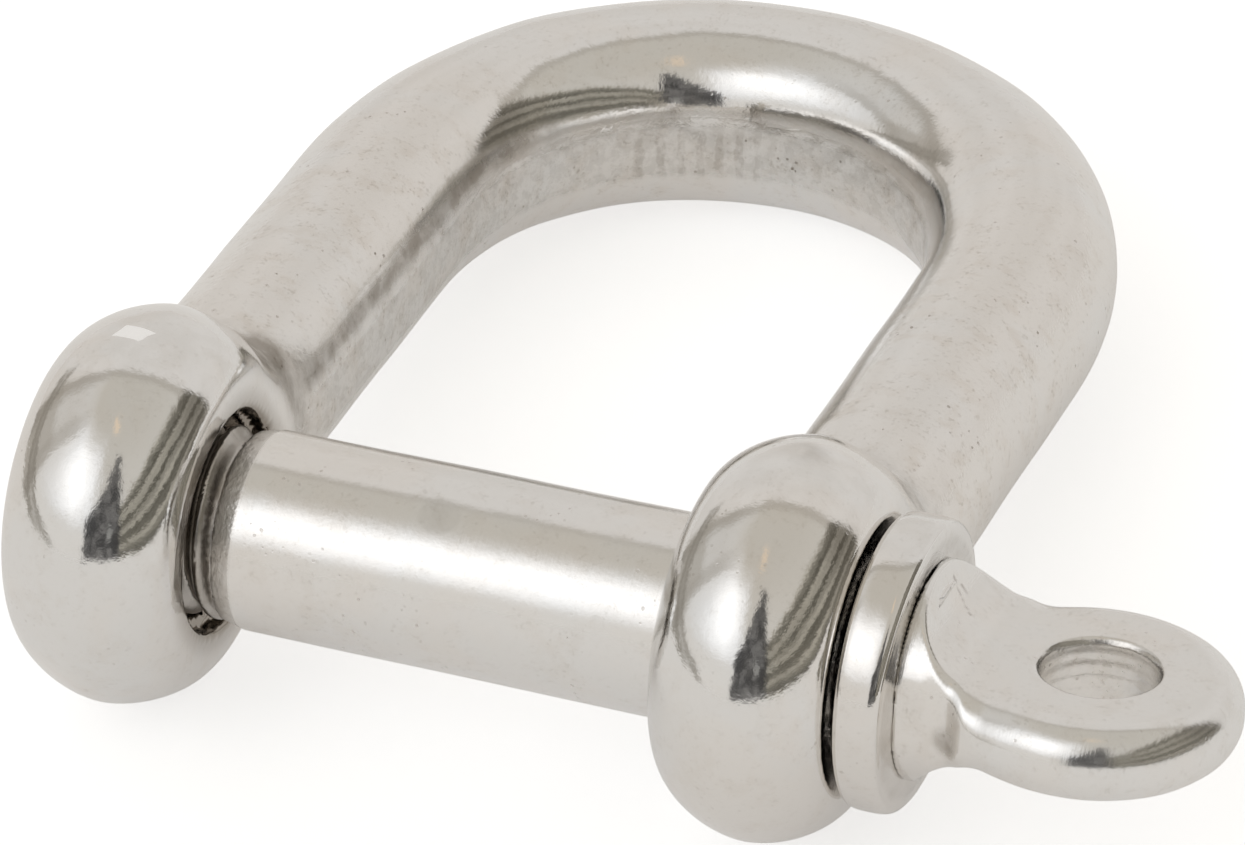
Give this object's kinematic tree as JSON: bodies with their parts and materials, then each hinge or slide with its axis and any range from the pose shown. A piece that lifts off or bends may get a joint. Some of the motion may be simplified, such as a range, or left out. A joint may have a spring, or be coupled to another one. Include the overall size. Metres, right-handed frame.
{
  "type": "bow shackle",
  "caption": "Stainless shackle: round bar bent into a wide D with ball-shaped ears, closed by a collared screw pin with a flat eye for turning.",
  "frame": {"origin": "on the pin axis, midway between the two ears", "axes": "+X along the pin from the threaded ear to the eye, +Y from the pin towards the crown of the bow, +Z normal to the plane of the bow"},
  "size_m": [0.0609, 0.0648, 0.0198],
  "materials": {
    "body_steel": "tumble-polished stainless steel, duller inside the bend",
    "collar_steel": "polished stainless steel",
    "pin_steel": "polished stainless steel"
  },
  "bodies": {
    "shackle": {"shackle_body": "body_steel"},
    "collar": {"pin_collar": "collar_steel"},
    "pin": {"screw_pin": "pin_steel"}
  },
  "joints": [
    {"name": "pin_travel", "type": "slide", "parent": "shackle", "child": "collar", "axis": [1, 0, 0], "range_m": [-0.00019, 0.042]},
    {"name": "pin_turn", "type": "hinge", "parent": "collar", "child": "pin", "pos_m": [0.0223, 0, 0], "axis": [1, 0, 0], "range_deg": [-45.5, 10085]}
  ],
  "couplings": [
    {"joint": "pin_turn", "follows": "pin_travel", "rad_per_m": 4188.8}
  ]
}
